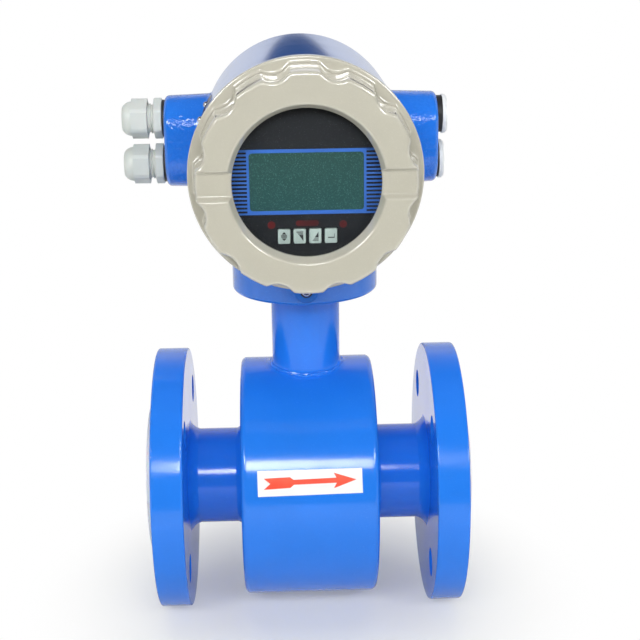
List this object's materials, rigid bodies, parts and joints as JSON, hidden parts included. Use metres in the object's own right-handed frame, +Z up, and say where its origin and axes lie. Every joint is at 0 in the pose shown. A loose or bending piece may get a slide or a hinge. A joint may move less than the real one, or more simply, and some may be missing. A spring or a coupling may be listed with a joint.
{
  "type": "electromagnetic flow meter",
  "caption": "Flanged electromagnetic flow tube with a drum-shaped coil housing and a round swivelling transmitter head with a window cover, cable glands and blanking plugs.",
  "frame": {"origin": "centre of the measuring bore, midway between the two sealing faces", "axes": "+X along the bore in the direction of flow, -Y towards the side the display faces, +Z up through the neck to the head"},
  "size_m": [0.2127, 0.212, 0.3572],
  "materials": {
    "blue_steel": "glossy blue paint over steel",
    "liner_white": "smooth fluoropolymer",
    "steel": "plain mild steel",
    "copper": "enamelled copper wire",
    "stainless": "bright stainless",
    "bush_plastic": "turned insulating plastic",
    "black_rubber": "black sealing rubber",
    "blue_cast": "glossy blue paint over die casting",
    "cream_cast": "satin cream powder coat over die casting",
    "glass": "clear toughened glass",
    "panel_black": "black printed panel",
    "lcd": "dark green liquid crystal screen",
    "red_lens": "dark red lens",
    "board_green": "green circuit board",
    "transformer": "potted block",
    "terminal": "green terminal strip",
    "key_grey": "light grey key",
    "gland_grey": "light grey polyamide",
    "plug_white": "white polyamide"
  },
  "bodies": {
    "sensor": {"measuring_tube": "blue_steel", "inlet_flange": "blue_steel", "outlet_flange": "blue_steel", "liner": "liner_white", "coil_shell": "blue_steel", "inlet_end_plate": "blue_steel", "outlet_end_plate": "blue_steel", "magnet_yoke": "steel", "upper_pole_piece": "steel", "upper_coil": "copper", "lower_pole_piece": "steel", "lower_coil": "copper", "front_electrode": "stainless", "rear_electrode": "stainless", "electrode_bushes": "bush_plastic", "electrode_bosses": "steel", "electrode_nuts": "stainless", "neck_tube": "blue_steel", "neck_collar": "blue_steel", "collar_seal": "black_rubber"},
    "head": {"housing": "blue_cast", "lock_screws": "stainless", "lock_washers": "black_rubber", "display_panel": "panel_black", "lcd_module": "lcd", "infrared_window": "red_lens", "status_lamps": "red_lens", "power_board": "board_green", "signal_board": "board_green", "processor_board": "board_green", "board_spacers": "bush_plastic", "display_board": "board_green", "board_screws": "stainless", "mains_transformer": "transformer", "terminal_block": "terminal", "terminal_screws": "stainless", "upper_gland_body": "gland_grey", "lower_gland_body": "gland_grey", "gland_gaskets": "black_rubber", "upper_blank_plug": "plug_white", "lower_blank_plug": "plug_white", "plug_rings": "black_rubber"},
    "front_cover_carrier": {"front_cover_seal": "black_rubber"},
    "front_cover": {"front_cover": "cream_cast", "window_gasket": "black_rubber", "window_glass": "glass", "glass_retainer": "stainless"},
    "rear_cover_carrier": {"rear_cover_seal": "black_rubber"},
    "rear_cover": {"rear_cover": "cream_cast"},
    "upper_gland_carrier": {"upper_gland_seal": "black_rubber"},
    "upper_gland_nut": {"upper_gland_nut": "gland_grey"},
    "lower_gland_carrier": {"lower_gland_seal": "black_rubber"},
    "lower_gland_nut": {"lower_gland_nut": "gland_grey"},
    "key_1": {"key_1": "key_grey"},
    "key_2": {"key_2": "key_grey"},
    "key_3": {"key_3": "key_grey"},
    "key_4": {"key_4": "key_grey"}
  },
  "joints": [
    {"name": "head_swivel", "type": "hinge", "parent": "sensor", "child": "head", "pos_m": [0, 0, 0.137], "axis": [0, 0, 1], "range_deg": [-175, 175]},
    {"name": "front_cover_travel", "type": "slide", "parent": "head", "child": "front_cover_carrier", "axis": [0, -1, 0], "range_m": [0, 0.01]},
    {"name": "front_cover_turn", "type": "hinge", "parent": "front_cover_carrier", "child": "front_cover", "pos_m": [0, -0.08, 0.21], "axis": [0, -1, 0], "range_deg": [0, 1800]},
    {"name": "rear_cover_travel", "type": "slide", "parent": "head", "child": "rear_cover_carrier", "axis": [0, 1, 0], "range_m": [0, 0.01]},
    {"name": "rear_cover_turn", "type": "hinge", "parent": "rear_cover_carrier", "child": "rear_cover", "pos_m": [0, 0.08, 0.21], "axis": [0, 1, 0], "range_deg": [0, 1800]},
    {"name": "upper_gland_travel", "type": "slide", "parent": "head", "child": "upper_gland_carrier", "axis": [-1, 0, 0], "range_m": [0, 0.0045]},
    {"name": "upper_gland_turn", "type": "hinge", "parent": "upper_gland_carrier", "child": "upper_gland_nut", "pos_m": [-0.1, 0.047, 0.2244], "axis": [-1, 0, 0], "range_deg": [0, 1080]},
    {"name": "lower_gland_travel", "type": "slide", "parent": "head", "child": "lower_gland_carrier", "axis": [-1, 0, 0], "range_m": [0, 0.0045]},
    {"name": "lower_gland_turn", "type": "hinge", "parent": "lower_gland_carrier", "child": "lower_gland_nut", "pos_m": [-0.1, 0.047, 0.1956], "axis": [-1, 0, 0], "range_deg": [0, 1080]},
    {"name": "key_1_press", "type": "slide", "parent": "head", "child": "key_1", "axis": [0, 1, 0], "range_m": [0, 0.0008], "stiffness_N_per_m": 1200},
    {"name": "key_2_press", "type": "slide", "parent": "head", "child": "key_2", "axis": [0, 1, 0], "range_m": [0, 0.0008], "stiffness_N_per_m": 1200},
    {"name": "key_3_press", "type": "slide", "parent": "head", "child": "key_3", "axis": [0, 1, 0], "range_m": [0, 0.0008], "stiffness_N_per_m": 1200},
    {"name": "key_4_press", "type": "slide", "parent": "head", "child": "key_4", "axis": [0, 1, 0], "range_m": [0, 0.0008], "stiffness_N_per_m": 1200}
  ],
  "couplings": [
    {"joint": "front_cover_travel", "follows": "front_cover_turn", "m_per_rad": 0.0003183},
    {"joint": "rear_cover_travel", "follows": "rear_cover_turn", "m_per_rad": 0.0003183},
    {"joint": "upper_gland_travel", "follows": "upper_gland_turn", "m_per_rad": 0.0002387},
    {"joint": "lower_gland_travel", "follows": "lower_gland_turn", "m_per_rad": 0.0002387}
  ]
}
